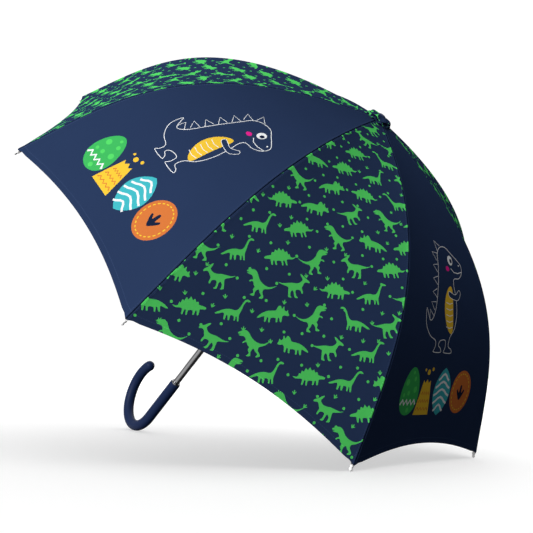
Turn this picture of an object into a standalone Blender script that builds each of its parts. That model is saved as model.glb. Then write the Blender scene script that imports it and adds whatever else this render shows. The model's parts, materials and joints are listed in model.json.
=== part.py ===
"""Children's stick umbrella, open and lying on two rib tips and the bend of its handle.

Each piece is modelled in the umbrella's own frame: the shaft runs along Z, the crown is up and the
rib pivots are at Z = 0. The empty "umbrella_frame" holds every piece and lays the umbrella down.
"""

import math

import bmesh
import bpy
from mathutils import Matrix, Vector

# Canopy, in metres and radians. Its outline is one Bezier curve from the crown to the rib tips.
RIBS = 8
TIP_RADIUS = 0.360
CROWN_RADIUS = 0.0072
CROWN_HEIGHT = 0.0055
CANOPY_DROP = 0.2416
CROWN_SLOPE, CROWN_PULL = math.radians(8.5), 0.2531
TIP_SLOPE, TIP_PULL = math.radians(58.5), 0.1224
HEM_RISE = 0.04  # share of the gore's length by which the hem's middle is cut back
PANEL_THICKNESS = 0.0008
SEAM_GAP = 0.0003
SPLIT_GAP = 0.0004

# Ribs and stretchers: steel channels that open towards the shaft.
RIB_WIDTH, RIB_HEIGHT, RIB_WALL = 0.0034, 0.0026, 0.0005
RIB_DEPTH = 0.0030  # from the canopy's mid surface to the rib's centre line
RIB_CROWN_DIP = 0.0025  # how much lower the rib runs at the crown
RIB_DIP_SHARE = 0.15
STRETCHER_WIDTH, STRETCHER_HEIGHT, STRETCHER_WALL = 0.0032, 0.0022, 0.0005
JOINT_SHARE = 0.45  # where the stretcher meets the rib, along the rib
JOINT_DROP = 0.0045  # from the rib's centre line to the stretcher's pin
JOINT_GAP = 0.0008  # half the gap between the rib's two stretches
EYE_RADIUS, EYE_HOLE, TONGUE_THICKNESS = 0.0018, 0.0010, 0.0012
TONGUE_LENGTH, TONGUE_HEIGHT = 0.0140, 0.0022
CHANNEL_START = 0.0095
PIVOT_RADIUS = 0.0082  # of the pivots at the crown and at the runner
WIRE_RADIUS = 0.0005

# Fold, from open to closed.
CLOSED_LINK_ANGLE = math.radians(88.0)  # of the line from the crown pivot to the pin
CLOSED_RIB_LEAN = math.radians(4.0)  # outward lean of the rib's outer stretch, as the cloth hangs loose
CLOSED_JOINT_MARGIN, CLOSED_HEM_RADIUS = 0.0035, 0.0385

# Shaft and what is fixed to it.
SHAFT_RADIUS, SHAFT_BORE = 0.00475, 0.0039
SHAFT_TOP = 0.0060
SHAFT_CLEARANCE = 0.0003
CROWN_TO_HANDLE = 0.4650
SHAFT_IN_HANDLE = 0.040
NOTCH_HUB, NOTCH_FLANGE, NOTCH_FLANGE_LOW, NOTCH_FLANGE_HIGH = 0.0061, 0.0107, 0.0026, 0.0040
NOTCH_LENGTH = 0.0120
FIN_RADIUS, FIN_THICKNESS, FIN_HEIGHT = 0.0074, 0.0012, 0.0050
ROSETTE_RADIUS, ROSETTE_LOW, ROSETTE_HIGH = 0.0170, 0.0066, 0.0108
CAP_RADIUS, CAP_STEM, CAP_TOP = 0.0056, 0.0034, 0.0136

# Runner: a sleeve that slides on the shaft.
RUNNER_BORE, RUNNER_RADIUS, RUNNER_COLLAR = 0.00515, 0.0092, 0.0107
RUNNER_ABOVE, RUNNER_BELOW, RUNNER_COLLAR_HEIGHT = 0.0034, 0.0420, 0.0050
KEYWAY_RADIUS, KEYWAY_WIDTH = 0.0081, 0.0040

# Catches: bent spring leaves in slots in the shaft.
CATCH_AZIMUTH = 0.0  # halfway between two ribs
CATCH_WIDTH, CATCH_REACH, CATCH_LENGTH = 0.0016, 0.0071, 0.0200
CATCH_LEAF_OUT, CATCH_LEAF_IN = 0.0034, 0.0020
SLOT_WIDTH, SLOT_MARGIN = 0.0028, 0.0012

# Handle: a straight grip and a hook.
HANDLE_RADIUS, HANDLE_STEM = 0.0076, 0.0710
HOOK_RADIUS, HOOK_TURN = 0.0468, math.radians(210.5)
HOOK_STEPS, HOOK_END_STEPS = 20, 5
SOCKET_DEPTH = 0.045
FERRULE_RADIUS, FERRULE_HEIGHT = 0.0067, 0.0024

# Small pieces at the hem.
TIP_LENGTH, TIP_NECK, TIP_BALL = 0.0065, 0.0015, 0.0019
STRAP_WIDTH, STRAP_THICKNESS, STRAP_LIFT = 0.018, 0.0008, 0.0013
STRAP_START, STRAP_END, STRAP_PANEL = 0.62, 0.93, 5

GORE = 2 * math.pi / RIBS
HALF_GORE = GORE / 2
FIRST_RIB = -HALF_GORE
HOOK_RIB = 5
HOOK_AZIMUTH = FIRST_RIB + GORE * (HOOK_RIB - 1)
CURVE_SAMPLES = 400

PALETTE = {
    "canopy_navy": ((0.026, 0.044, 0.104, 1), 0.75, 0.0),
    "canopy_print": ((0.040, 0.170, 0.060, 1), 0.75, 0.0),
    "handle": ((0.018, 0.030, 0.085, 1), 0.45, 0.0),
    "steel": ((0.55, 0.55, 0.57, 1), 0.30, 1.0),
    "dark_plastic": ((0.020, 0.020, 0.024, 1), 0.45, 0.0),
    "tip_plastic": ((0.80, 0.80, 0.80, 1), 0.40, 0.0),
}


# The canopy's outline


def bezier(t):
    slope_in = Vector((math.cos(CROWN_SLOPE), 0, -math.sin(CROWN_SLOPE)))
    slope_out = Vector((math.cos(TIP_SLOPE), 0, -math.sin(TIP_SLOPE)))
    first = Vector((CROWN_RADIUS, 0, CROWN_HEIGHT))
    last = Vector((TIP_RADIUS, 0, CROWN_HEIGHT - CANOPY_DROP))
    second, third = first + slope_in * CROWN_PULL, last - slope_out * TIP_PULL
    s = 1 - t
    return first * s**3 + second * (3 * s * s * t) + third * (3 * s * t * t) + last * t**3


OUTLINE = [bezier(i / CURVE_SAMPLES) for i in range(CURVE_SAMPLES + 1)]
LENGTHS = [0.0]
for before, after in zip(OUTLINE, OUTLINE[1:]):
    LENGTHS.append(LENGTHS[-1] + (after - before).length)
RIB_LENGTH = LENGTHS[-1]


def outline_index(share):
    wanted = share * RIB_LENGTH
    i = next((n for n, length in enumerate(LENGTHS[1:]) if length >= wanted), CURVE_SAMPLES - 1)
    return i, (wanted - LENGTHS[i]) / (LENGTHS[i + 1] - LENGTHS[i])


def canopy_point(share):
    """The point of the outline at this share of its length, over a rib at azimuth 0."""
    i, part = outline_index(share)
    return OUTLINE[i].lerp(OUTLINE[i + 1], part)


def canopy_normal(share):
    i, _ = outline_index(share)
    along = OUTLINE[i + 1] - OUTLINE[i]
    return Vector((-along.z, 0, along.x)).normalized()


def rib_point(share):
    """The rib's centre line: just under the canopy, and lower at the crown, where its pivot is."""
    dip = RIB_CROWN_DIP * max(0.0, 1 - share / RIB_DIP_SHARE) ** 2
    return canopy_point(share) - canopy_normal(share) * RIB_DEPTH - Vector((0, 0, dip))


def azimuth_of(rib):
    return FIRST_RIB + GORE * (rib - 1)


def turned(azimuth):
    return Matrix.Rotation(azimuth, 4, "Z")


# The linkage. Crown pivot to pin and pin to runner pivot are equal, so that the pin stays halfway
# between the two pivots and the runner follows the shaft.

CROWN_PIVOT = Vector((PIVOT_RADIUS, 0, 0))
FLEX_POINT = rib_point(JOINT_SHARE)
PIN = FLEX_POINT - canopy_normal(JOINT_SHARE) * JOINT_DROP
LINK = (PIN - CROWN_PIVOT).length
OPEN_LINK_ANGLE = math.asin(-PIN.z / LINK)
RUNNER_Z = 2 * PIN.z
RUNNER_PIVOT = Vector((PIVOT_RADIUS, 0, RUNNER_Z))
CLOSED_RUNNER_Z = -2 * LINK * math.sin(CLOSED_LINK_ANGLE)
FOLD = CLOSED_LINK_ANGLE - OPEN_LINK_ANGLE


def down_angle(a, b):
    """How steeply the line from a to b runs down, in the plane of a rib."""
    return math.atan2(a.z - b.z, b.x - a.x)


def swung(point, about, angle):
    """Point turned downwards about a pivot, in the plane of a rib."""
    arm = point - about
    return about + Matrix.Rotation(angle, 3, "Y") @ arm


RIB_FLEX = math.pi / 2 - CLOSED_RIB_LEAN - FOLD - down_angle(FLEX_POINT, rib_point(1))

# The same for the cloth halfway between two ribs, which stays just outside the ribs.
MIDDLE = math.cos(HALF_GORE)


def middle_point(share):
    point = canopy_point(share)
    return Vector((point.x * MIDDLE, 0, point.z))


PANEL_PIVOT = Vector((PIVOT_RADIUS * MIDDLE, 0, 0))
PANEL_FLEX_POINT = middle_point(JOINT_SHARE)


def panel_angles():
    """(how far the upper cloth swings down, how far the lower cloth turns against it)."""
    rib_radius = swung(FLEX_POINT, CROWN_PIVOT, FOLD).x
    wanted = (rib_radius + CLOSED_JOINT_MARGIN) * MIDDLE
    arm = PANEL_FLEX_POINT - PANEL_PIVOT
    start = down_angle(PANEL_PIVOT, PANEL_FLEX_POINT)
    fold = math.acos((wanted - PANEL_PIVOT.x) / arm.length) - start
    hem = middle_point(1 - HEM_RISE)
    length = (hem - PANEL_FLEX_POINT).length
    lean = math.asin((wanted - CLOSED_HEM_RADIUS) / length)
    flex = math.pi / 2 + lean - fold - down_angle(PANEL_FLEX_POINT, hem)
    return fold, flex


PANEL_FOLD, PANEL_FLEX = panel_angles()


# Building blocks


def cleared_collection(name):
    for obj in list(bpy.data.objects):
        bpy.data.objects.remove(obj)
    collection = bpy.data.collections.new(name)
    bpy.context.scene.collection.children.link(collection)
    return collection


UMBRELLA = cleared_collection("childrens_umbrella")
FRAME = bpy.data.objects.new("umbrella_frame", None)
UMBRELLA.objects.link(FRAME)


def make_material(name):
    colour, roughness, metallic = PALETTE[name]
    material = bpy.data.materials.new(name)
    material.use_nodes = True
    shader = material.node_tree.nodes["Principled BSDF"]
    shader.inputs["Base Color"].default_value = colour
    shader.inputs["Roughness"].default_value = roughness
    shader.inputs["Metallic"].default_value = metallic
    material.diffuse_color = colour
    return material


MATERIALS = {name: make_material(name) for name in PALETTE}


def mesh_from(data):
    """The evaluated mesh of a curve or of an object with modifiers, with its caps welded on."""
    obj = data
    if not isinstance(data, bpy.types.Object):
        obj = bpy.data.objects.new("scrap", data)
    bpy.context.scene.collection.objects.link(obj)
    bpy.context.view_layer.update()
    graph = bpy.context.evaluated_depsgraph_get()
    mesh = bpy.data.meshes.new_from_object(obj.evaluated_get(graph))
    bpy.data.objects.remove(obj)
    bm = bmesh.new()
    bm.from_mesh(mesh)
    bmesh.ops.remove_doubles(bm, verts=bm.verts, dist=1e-6)
    bmesh.ops.recalc_face_normals(bm, faces=bm.faces)
    bm.to_mesh(mesh)
    bm.free()
    return mesh


def spline(curve, points, cyclic=False, radii=None):
    line = curve.splines.new("POLY")
    line.points.add(len(points) - 1)
    for i, point in enumerate(points):
        line.points[i].co = (*point, 1)
        line.points[i].radius = radii[i] if radii else 1
    line.use_cyclic_u = cyclic


def tube_mesh(points, radius, radii=None, resolution=2, cyclic=False):
    curve = bpy.data.curves.new("tube", "CURVE")
    curve.dimensions = "3D"
    spline(curve, points, cyclic, radii)
    curve.bevel_depth = radius
    curve.bevel_resolution = resolution
    curve.use_fill_caps = not cyclic
    return mesh_from(curve)


def channel_mesh(points, width, height, wall):
    """A channel along a path in the XZ plane, open towards -Z."""
    w, h = width / 2, height / 2
    corners = [(-w, h), (w, h), (w, -h), (w - wall, -h), (w - wall, h - wall)]
    corners += [(wall - w, h - wall), (wall - w, -h), (-w, -h)]
    section = bpy.data.curves.new("section", "CURVE")
    section.dimensions = "3D"
    spline(section, [(x, y, 0) for x, y in corners], cyclic=True)
    profile = bpy.data.objects.new("section", section)
    curve = bpy.data.curves.new("channel", "CURVE")
    curve.dimensions = "3D"
    spline(curve, points)
    curve.bevel_mode = "OBJECT"
    curve.bevel_object = profile
    curve.use_fill_caps = True
    mesh = mesh_from(curve)
    bpy.data.objects.remove(profile)
    return mesh


def circle(x, z, radius, steps=12):
    """Points of a circle for a flat outline in the XZ plane."""
    angles = [2 * math.pi * i / steps for i in range(steps)]
    return [(x + radius * math.cos(a), z + radius * math.sin(a)) for a in angles]


def plate_mesh(loops, thickness):
    """A flat plate in the XZ plane, centred on Y = 0. The first loop is its edge, the others holes."""
    curve = bpy.data.curves.new("plate", "CURVE")
    curve.dimensions = "2D"
    curve.fill_mode = "BOTH"
    for loop in loops:
        spline(curve, [(x, z, 0) for x, z in loop], cyclic=True)
    curve.extrude = thickness / 2
    mesh = mesh_from(curve)
    mesh.transform(Matrix.Rotation(math.pi / 2, 4, "X"))
    return mesh


def turned_mesh(profile, steps, closed=False):
    """A turned shape about Z. Its profile, (radius, z), runs down the outer side."""
    bm = bmesh.new()
    verts = [bm.verts.new((r, 0, z)) for r, z in profile]
    pairs = list(zip(verts, verts[1:])) + ([(verts[-1], verts[0])] if closed else [])
    for a, b in pairs:
        bm.edges.new((a, b))
    mesh = bpy.data.meshes.new("turned")
    bm.to_mesh(mesh)
    bm.free()
    obj = bpy.data.objects.new("turned", mesh)
    screw = obj.modifiers.new("screw", "SCREW")
    screw.axis = "Z"
    screw.steps = screw.render_steps = steps
    screw.use_merge_vertices = True
    screw.merge_threshold = 1e-6
    return mesh_from(obj)


def box_mesh(low, high):
    bm = bmesh.new()
    size = Vector(high) - Vector(low)
    centre = Matrix.Translation((Vector(high) + Vector(low)) / 2)
    bmesh.ops.create_cube(bm, size=1, matrix=centre @ Matrix.Diagonal((*size, 1)))
    mesh = bpy.data.meshes.new("box")
    bm.to_mesh(mesh)
    bm.free()
    return mesh


def cylinder_mesh(radius, depth, segments, matrix):
    bm = bmesh.new()
    bmesh.ops.create_cone(
        bm, cap_ends=True, segments=segments, radius1=radius, radius2=radius, depth=depth, matrix=matrix
    )
    mesh = bpy.data.meshes.new("cylinder")
    bm.to_mesh(mesh)
    bm.free()
    return mesh


def combined(base, others, operation="UNION"):
    """Base with each other mesh joined to it, or cut from it."""
    for other in others:
        obj = bpy.data.objects.new("base", base)
        tool = bpy.data.objects.new("tool", other)
        boolean = obj.modifiers.new("boolean", "BOOLEAN")
        boolean.operation = operation
        boolean.object = tool
        base = mesh_from(obj)
        bpy.data.objects.remove(tool)
    return base


def moved(mesh, matrix):
    copy = mesh.copy()
    copy.transform(matrix)
    return copy


def add(name, mesh, material, matrix=None):
    """A named piece in the umbrella's frame, with its origin where the matrix puts it."""
    mesh.name = name
    if not mesh.materials:
        mesh.materials.append(MATERIALS[material])
    mesh.shade_smooth()
    mesh.set_sharp_from_angle(angle=math.radians(35))
    obj = bpy.data.objects.new(name, mesh)
    obj.parent = FRAME
    obj.matrix_basis = matrix or Matrix.Identity(4)
    UMBRELLA.objects.link(obj)
    return obj


def add_ring(name, mesh, material, radius=0.0, z=0.0, half_turn=0.0):
    """One copy for each rib or panel: NAME holds a place for its number."""
    for number in range(1, RIBS + 1):
        place = turned(azimuth_of(number) + half_turn) @ Matrix.Translation((radius, 0, z))
        add(name.format(number), mesh, material, place)


# Frame: ribs, stretchers and tips


def path_between(start, end, steps, point, origin):
    return [point(start + (end - start) * i / steps) - origin for i in range(steps + 1)]


def tongue_mesh(direction, hole):
    """A flat tongue with an eye at the origin, running along a direction in the XZ plane."""
    half = TONGUE_HEIGHT / 2
    reach = math.sqrt(EYE_RADIUS**2 - half**2)
    around = [math.radians(a) for a in range(60, 301, 30)]
    edge = [(EYE_RADIUS * math.cos(a), EYE_RADIUS * math.sin(a)) for a in around]
    edge += [(reach, -half), (TONGUE_LENGTH, -half), (TONGUE_LENGTH, half), (reach, half)]
    mesh = plate_mesh([edge, circle(0, 0, hole)], TONGUE_THICKNESS)
    mesh.transform(Matrix.Rotation(-math.atan2(direction.z, direction.x), 4, "Y"))
    return mesh


def joint_bracket():
    """Pieces of the bracket on the rib's inner stretch: two ears, a bridge, a crimp and the pin."""
    inner, outer = 0.0021, 0.0027
    half_length, top, bottom = 0.0038, 0.0010, JOINT_DROP + 0.0016
    ears = [
        box_mesh((-half_length, min(a, b), -bottom), (half_length, max(a, b), top))
        for a, b in ((inner, outer), (-inner, -outer))
    ]
    bridge = box_mesh((-half_length + 0.0005, -outer + 0.0002, -0.0023), (0.0010, outer - 0.0002, -0.0017))
    crimp = box_mesh((-half_length + 0.0003, -outer + 0.0003, -0.0008), (-0.0012, outer - 0.0003, 0.0007))
    axle = Matrix.Translation((0, 0, -JOINT_DROP)) @ Matrix.Rotation(math.pi / 2, 4, "X")
    pin = cylinder_mesh(0.0007, 2 * outer + 0.0008, 10, axle)
    place = Matrix.Translation(FLEX_POINT - CROWN_PIVOT) @ Matrix.Rotation(rib_slope(JOINT_SHARE), 4, "Y")
    return [moved(mesh, place) for mesh in (crimp, bridge, *ears, pin)]


def rib_slope(share):
    normal = canopy_normal(share)
    return math.atan2(normal.x, normal.z)


def rib_inner_mesh():
    start = CHANNEL_START / RIB_LENGTH
    end = JOINT_SHARE - JOINT_GAP / RIB_LENGTH
    channel = channel_mesh(
        path_between(start, end, 8, rib_point, CROWN_PIVOT), RIB_WIDTH, RIB_HEIGHT, RIB_WALL
    )
    towards = rib_point(0.04) - CROWN_PIVOT
    return combined(channel, [tongue_mesh(towards, EYE_HOLE), *joint_bracket()])


def rib_outer_mesh():
    start = JOINT_SHARE + JOINT_GAP / RIB_LENGTH
    path = path_between(start, 0.998, 9, rib_point, FLEX_POINT)
    return channel_mesh(path, RIB_WIDTH, RIB_HEIGHT, RIB_WALL)


def stretcher_mesh():
    """Runs from the pin, at its origin, to the runner."""
    points = [Vector((CHANNEL_START, 0, 0)), Vector((LINK - CHANNEL_START, 0, 0))]
    channel = channel_mesh(points, STRETCHER_WIDTH, STRETCHER_HEIGHT, STRETCHER_WALL)
    near = tongue_mesh(Vector((1, 0, 0)), EYE_HOLE)
    far = moved(tongue_mesh(Vector((-1, 0, 0)), EYE_HOLE), Matrix.Translation((LINK, 0, 0)))
    mesh = combined(channel, [near, far])
    mesh.transform(Matrix.Rotation(down_angle(PIN, RUNNER_PIVOT), 4, "Y"))
    return mesh


def tip_mesh():
    """A slim cap with a ball end. It runs along +Z from the rib's end."""
    ball = TIP_LENGTH - TIP_BALL
    profile = [(0, TIP_LENGTH)]
    for angle in (30, 60, 90, 120):
        a = math.radians(angle)
        profile.append((TIP_BALL * math.sin(a), ball + TIP_BALL * math.cos(a)))
    profile += [(TIP_NECK, 0.0028), (0.0021, 0.0010), (0.0021, 0), (0, 0)]
    return turned_mesh(profile, 10)


def add_frame():
    add_ring("rib_{}_inner", rib_inner_mesh(), "steel", PIVOT_RADIUS)
    add_ring("rib_{}_outer", rib_outer_mesh(), "steel", FLEX_POINT.x, FLEX_POINT.z)
    add_ring("stretcher_{}", stretcher_mesh(), "steel", PIN.x, PIN.z)
    end = rib_point(1)
    mesh = tip_mesh()
    aim = Matrix.Rotation(math.pi / 2 + rib_slope(0.999), 4, "Y")
    for number in range(1, RIBS + 1):
        place = turned(azimuth_of(number)) @ Matrix.Translation(end) @ aim
        add(f"rib_tip_{number}", mesh, "tip_plastic", place)


# Canopy


def gore_point(share, across):
    """A point of the cloth between two ribs, across from -1 to 1. It is straight from rib to rib."""
    point = canopy_point(share)
    half = point.x * math.sin(HALF_GORE) - SEAM_GAP
    return Vector((point.x * MIDDLE, across * half, point.z))


def cloth_mesh(rows, columns, point, thickness, origin):
    """A thin sheet through point(row share, column share)."""
    bm = bmesh.new()
    grid = [
        [bm.verts.new(point(i / rows, j / columns) - origin) for j in range(columns + 1)]
        for i in range(rows + 1)
    ]
    for i in range(rows):
        for j in range(columns):
            bm.faces.new((grid[i][j], grid[i + 1][j], grid[i + 1][j + 1], grid[i][j + 1]))
    mesh = bpy.data.meshes.new("cloth")
    bm.to_mesh(mesh)
    bm.free()
    obj = bpy.data.objects.new("cloth", mesh)
    solid = obj.modifiers.new("solid", "SOLIDIFY")
    solid.thickness = thickness
    solid.offset = 0
    return mesh_from(obj)


def upper_cloth(row, column):
    split = JOINT_SHARE - SPLIT_GAP / RIB_LENGTH
    return gore_point(split * row, 2 * column - 1)


def lower_cloth(row, column):
    across = 2 * column - 1
    split = JOINT_SHARE + SPLIT_GAP / RIB_LENGTH
    hem = 1 - HEM_RISE * (1 - across * across)
    return gore_point(split + (hem - split) * row, across)


def strap_cloth(row, column):
    """The tie strap lies along the middle of its panel, on the outside."""
    share = STRAP_START + (STRAP_END - STRAP_START) * row
    point = middle_point(share) + canopy_normal(share) * STRAP_LIFT
    return point + Vector((0, (column - 0.5) * STRAP_WIDTH, 0))


def add_canopy():
    upper = cloth_mesh(7, 2, upper_cloth, PANEL_THICKNESS, PANEL_PIVOT)
    lower = cloth_mesh(7, 8, lower_cloth, PANEL_THICKNESS, PANEL_FLEX_POINT)
    copies = {"canopy_navy": (upper, lower), "canopy_print": (upper.copy(), lower.copy())}
    for number in range(1, RIBS + 1):
        material = "canopy_navy" if number % 2 else "canopy_print"
        for name, mesh, pivot in zip(
            ("upper", "lower"), copies[material], (PANEL_PIVOT, PANEL_FLEX_POINT)
        ):
            place = turned(azimuth_of(number) + HALF_GORE) @ Matrix.Translation(pivot)
            add(f"panel_{number}_{name}", mesh, material, place)
    strap = cloth_mesh(6, 1, strap_cloth, STRAP_THICKNESS, Vector((0, 0, 0)))
    add("tie_strap", strap, "canopy_navy", turned(azimuth_of(STRAP_PANEL) + HALF_GORE))


# Shaft, crown and runner


def catch_outline():
    """Side view of a catch, (x, z), with its pivot at the origin and its nose below it."""
    ramp, nose = 0.006 - CATCH_LENGTH, -CATCH_LENGTH
    return [
        (CATCH_LEAF_IN, 0), (CATCH_LEAF_OUT, 0), (CATCH_LEAF_OUT, ramp + 0.0008),
        (CATCH_REACH, nose + 0.0022), (CATCH_REACH, nose), (CATCH_LEAF_IN, nose),
    ]


def catches():
    """(name, z of its pivot, +1 where the nose is below the pivot or -1 where it is above)."""
    runner_low = RUNNER_Z - RUNNER_BELOW
    runner_high = CLOSED_RUNNER_Z + RUNNER_ABOVE
    yield "upper_catch", runner_low - SHAFT_CLEARANCE - CATCH_LENGTH, -1
    yield "lower_catch", runner_high + SHAFT_CLEARANCE + CATCH_LENGTH, 1


def add_shaft():
    low = -CROWN_TO_HANDLE - SHAFT_IN_HANDLE
    tube = turned_mesh(
        [(SHAFT_RADIUS, SHAFT_TOP), (SHAFT_RADIUS, low), (SHAFT_BORE, low), (SHAFT_BORE, SHAFT_TOP)],
        24, closed=True,
    )
    slots = []
    for name, z, side in catches():
        outline = catch_outline() if side > 0 else [(x, -z) for x, z in reversed(catch_outline())]
        place = turned(CATCH_AZIMUTH) @ Matrix.Translation((0, 0, z))
        leaf = plate_mesh([outline], CATCH_WIDTH)
        add(name, leaf, "steel", place)
        end = z - side * (CATCH_LENGTH + SLOT_MARGIN)
        start = z - side * 0.008
        slot = box_mesh(
            (0.001, -SLOT_WIDTH / 2, min(start, end)), (0.006, SLOT_WIDTH / 2, max(start, end))
        )
        slots.append(moved(slot, turned(CATCH_AZIMUTH)))
    add("shaft_tube", combined(tube, slots, "DIFFERENCE"), "steel")


def fins(z, low_radius):
    """Short walls between the eyes, which keep the ribs or stretchers apart."""
    half, reach = FIN_THICKNESS / 2, FIN_HEIGHT / 2
    wall = box_mesh((low_radius, -half, z - reach), (FIN_RADIUS, half, z + reach))
    return [moved(wall, turned(azimuth_of(n) + HALF_GORE)) for n in range(1, RIBS + 1)]


def wire_ring(radius_z):
    points = [(x, y, radius_z) for x, y in circle(0, 0, PIVOT_RADIUS, 32)]
    return tube_mesh(points, WIRE_RADIUS, cyclic=True, resolution=1)


def add_crown():
    bore = SHAFT_RADIUS + SHAFT_CLEARANCE
    profile = [
        (bore, NOTCH_FLANGE_HIGH), (NOTCH_FLANGE, NOTCH_FLANGE_HIGH), (NOTCH_FLANGE, NOTCH_FLANGE_LOW),
        (NOTCH_HUB, NOTCH_FLANGE_LOW), (NOTCH_HUB, NOTCH_FLANGE_LOW - NOTCH_LENGTH),
        (bore, NOTCH_FLANGE_LOW - NOTCH_LENGTH),
    ]
    notch = turned_mesh(profile, 24, closed=True)
    walls = fins(NOTCH_FLANGE_LOW - FIN_HEIGHT / 2 + 0.0002, bore + 0.0005)
    add("crown_notch", combined(notch, walls), "dark_plastic")
    add("crown_wire", wire_ring(0), "steel")
    petals = [
        (bore, ROSETTE_HIGH), (0.0100, ROSETTE_HIGH), (0.0150, 0.0098), (ROSETTE_RADIUS, 0.0080),
        (0.0160, 0.0060), (0.0100, 0.0064), (bore, ROSETTE_LOW),
    ]
    add("crown_rosette", turned_mesh(petals, 24, closed=True), "canopy_print")
    foot = SHAFT_TOP + SHAFT_CLEARANCE
    cap = [
        (0, CAP_TOP), (0.0028, CAP_TOP - 0.0003), (0.0048, CAP_TOP - 0.0010),
        (CAP_RADIUS, CAP_TOP - 0.0018), (CAP_RADIUS, ROSETTE_HIGH + 0.0003),
        (CAP_STEM, ROSETTE_HIGH + 0.0003), (CAP_STEM, foot), (0, foot),
    ]
    add("crown_cap", turned_mesh(cap, 16), "dark_plastic")


def add_runner():
    """The sleeve hangs below the stretchers' pivots. Its keyway passes over both catches."""
    high, low = RUNNER_ABOVE, -RUNNER_BELOW
    flange = -FIN_HEIGHT / 2 - 0.0002
    profile = [
        (RUNNER_BORE, high), (NOTCH_HUB, high), (NOTCH_HUB, flange), (RUNNER_COLLAR, flange),
        (RUNNER_COLLAR, flange - 0.0020), (RUNNER_RADIUS, flange - 0.0045),
        (RUNNER_RADIUS, low + RUNNER_COLLAR_HEIGHT + 0.0015), (RUNNER_COLLAR, low + RUNNER_COLLAR_HEIGHT),
        (RUNNER_COLLAR, low), (RUNNER_BORE, low),
    ]
    sleeve = turned_mesh(profile, 24, closed=True)
    keyway = box_mesh((0, -KEYWAY_WIDTH / 2, low - 0.001), (KEYWAY_RADIUS, KEYWAY_WIDTH / 2, high + 0.001))
    sleeve = combined(sleeve, fins(0, RUNNER_BORE + 0.0004))
    sleeve = combined(sleeve, [moved(keyway, turned(CATCH_AZIMUTH))], "DIFFERENCE")
    add("runner", sleeve, "dark_plastic", Matrix.Translation((0, 0, RUNNER_Z)))
    add("runner_wire", wire_ring(0), "steel", Matrix.Translation((0, 0, RUNNER_Z)))


# Handle


def hook_path():
    """Centre line of the handle: straight down from the ferrule, then round the hook."""
    out = turned(HOOK_AZIMUTH).to_3x3() @ Vector((1, 0, 0))
    bend = -CROWN_TO_HANDLE - HANDLE_STEM
    points = [Vector((0, 0, -CROWN_TO_HANDLE)), Vector((0, 0, bend + 0.002))]
    for i in range(HOOK_STEPS + 1):
        angle = HOOK_TURN * i / HOOK_STEPS
        aside = HOOK_RADIUS * (1 - math.cos(angle))
        points.append(out * aside + Vector((0, 0, bend - HOOK_RADIUS * math.sin(angle))))
    return points


def rounded_end(points):
    """(points, radii) with the last stretch narrowing to a round end."""
    end = points[-1]
    along = (end - points[-2]).normalized()
    radii = [1.0] * len(points)
    for i in range(1, HOOK_END_STEPS + 1):
        share = math.sin(math.pi / 2 * i / (HOOK_END_STEPS + 0.25))
        points.append(end + along * HANDLE_RADIUS * share)
        radii.append(math.sqrt(1 - share * share))
    return points, radii


def add_handle():
    points, radii = rounded_end(hook_path())
    grip = tube_mesh(points, HANDLE_RADIUS, radii, resolution=4)
    reach = Matrix.Translation((0, 0, -CROWN_TO_HANDLE - SOCKET_DEPTH / 2 + 0.001))
    socket = cylinder_mesh(SHAFT_RADIUS + SHAFT_CLEARANCE, SOCKET_DEPTH + 0.002, 24, reach)
    add("handle", combined(grip, [socket], "DIFFERENCE"), "handle")
    bore, low = SHAFT_RADIUS + SHAFT_CLEARANCE, SHAFT_CLEARANCE - CROWN_TO_HANDLE
    ring = [
        (bore, low + FERRULE_HEIGHT), (FERRULE_RADIUS - 0.0006, low + FERRULE_HEIGHT),
        (FERRULE_RADIUS, low + FERRULE_HEIGHT - 0.0006), (FERRULE_RADIUS, low), (bore, low),
    ]
    add("handle_ferrule", turned_mesh(ring, 24, closed=True), "steel")


# Lying on the ground


def lowest(points, radius, tilt):
    """Height of the lowest of these balls once the crown is tilted towards +X."""
    up = Vector((-math.sin(tilt), 0, math.cos(tilt)))
    return min(up.dot(p) for p in points) - radius


def resting_tilt():
    """The tilt from upright at which the two lowest tips and the handle touch one plane."""
    aim = Vector((math.cos(rib_slope(0.999)), 0, -math.sin(rib_slope(0.999))))
    tip = turned(FIRST_RIB).to_3x3() @ (rib_point(1) + aim * (TIP_LENGTH - TIP_BALL))
    low, high = math.radians(10), math.radians(80)
    for _ in range(50):
        tilt = (low + high) / 2
        handle = lowest(hook_path(), HANDLE_RADIUS, tilt)
        low, high = (tilt, high) if handle < lowest([tip], TIP_BALL, tilt) else (low, tilt)
    return tilt


def lay_down():
    """Lays the umbrella on Z = 0, with the middle of its box over the origin."""
    FRAME.matrix_basis = Matrix.Rotation(resting_tilt(), 4, "Y")
    bpy.context.view_layer.update()
    corners = []
    for obj in UMBRELLA.objects:
        if obj.type == "MESH":
            corners += [obj.matrix_world @ vertex.co for vertex in obj.data.vertices]
    low = Vector([min(c[i] for c in corners) for i in range(3)])
    high = Vector([max(c[i] for c in corners) for i in range(3)])
    FRAME.location = (-(low.x + high.x) / 2, -(low.y + high.y) / 2, -low.z)
    bpy.context.view_layer.update()


add_frame()
add_canopy()
add_shaft()
add_crown()
add_runner()
add_handle()
lay_down()
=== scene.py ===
"""Looks of the children's umbrella: printed cloth, crook handle, steel frame, floor, light and camera.

Every piece is placed in the umbrella's own frame, which has the shaft along Z, the crown up and the rib
pivots at Z = 0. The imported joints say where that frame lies.
"""

import bisect
import json
import math
import random

import bmesh
import bpy
import numpy as np
from mathutils import Matrix, Vector, geometry, noise

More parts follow.
